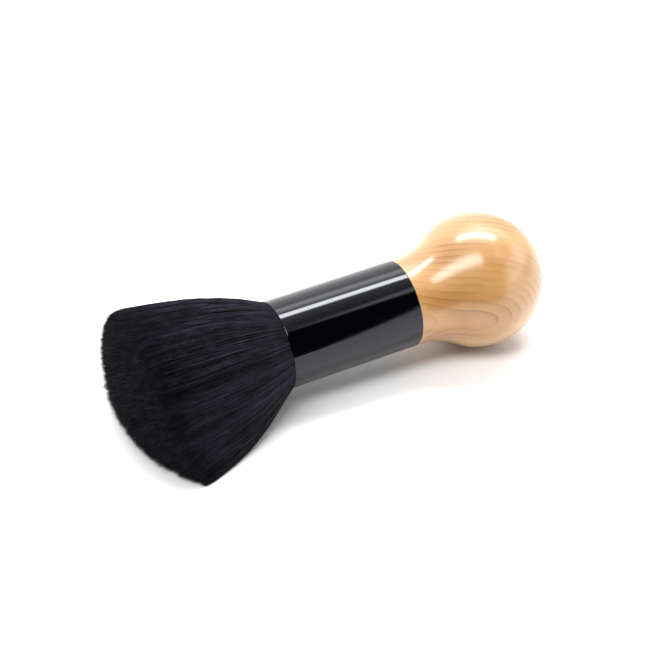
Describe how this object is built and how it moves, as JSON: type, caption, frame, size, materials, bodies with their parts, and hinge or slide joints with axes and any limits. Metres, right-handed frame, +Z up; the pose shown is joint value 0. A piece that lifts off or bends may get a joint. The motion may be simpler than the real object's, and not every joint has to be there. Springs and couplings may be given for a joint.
{
  "type": "neck duster brush",
  "caption": "Barber's neck duster: ball-ended wooden handle, black tubular ferrule and a flared tuft of soft black hair, lying on its side.",
  "frame": {"origin": "middle of the brush's outline on the table it lies on", "axes": "+X from the tuft to the ball along the table, the brush's own axis rising 3.5 degrees towards the ball; +Z up"},
  "size_m": [0.1646, 0.073, 0.0497],
  "materials": {
    "wood": "satin",
    "glue": "matte",
    "black_gloss": "gloss",
    "cup_plastic": "matte",
    "resin": "gloss",
    "twine": "matte",
    "hair": "matte"
  },
  "bodies": {
    "root": {"wood_handle": "wood", "handle_glue": "glue", "ferrule": "black_gloss", "cup_glue": "glue", "knot_cup": "cup_plastic", "root_resin": "resin", "root_binding": "twine", "hair_root": "hair", "hair_tuft": "hair"}
  },
  "joints": []
}
